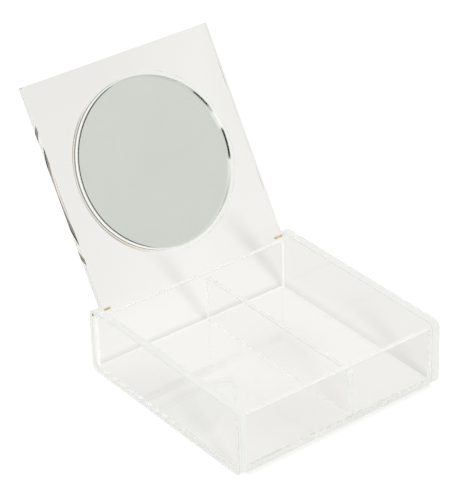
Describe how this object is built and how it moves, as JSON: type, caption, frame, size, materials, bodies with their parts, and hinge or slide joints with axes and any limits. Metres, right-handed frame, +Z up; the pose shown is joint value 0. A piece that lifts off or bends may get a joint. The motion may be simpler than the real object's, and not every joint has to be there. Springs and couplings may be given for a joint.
{
  "type": "vanity box with mirror",
  "caption": "Low clear acrylic box with off-centre divider, walls set in between two thick side panels, and a pin-hinged lid with a round mirror let into its inner face.",
  "frame": {"origin": "centre of the underside, where the box rests", "axes": "+X to the right seen from the front, +Y to the back where the lid hinges, +Z up; the lid is open"},
  "size_m": [0.125, 0.18, 0.1353],
  "materials": {
    "clear_acrylic": "clear cast acrylic, polished faces and edges",
    "silvered_glass": "polished float glass, silvered on the back",
    "mirror_back_paint": "silver and grey-brown protective paint",
    "clear_adhesive": "clear mounting adhesive",
    "brass": "bright drawn wire"
  },
  "bodies": {
    "box": {"left_side_panel": "clear_acrylic", "right_side_panel": "clear_acrylic", "floor_panel": "clear_acrylic", "front_wall": "clear_acrylic", "back_wall": "clear_acrylic", "divider": "clear_acrylic", "left_hinge_pin": "brass", "right_hinge_pin": "brass"},
    "lid": {"lid_panel": "clear_acrylic", "mirror_glass": "silvered_glass", "mirror_paint": "mirror_back_paint", "mirror_adhesive": "clear_adhesive"}
  },
  "joints": [
    {"name": "lid_hinge", "type": "hinge", "parent": "box", "child": "lid", "pos_m": [0, 0.0571, 0.0337], "axis": [1, 0, 0], "range_deg": [0, 121]}
  ]
}
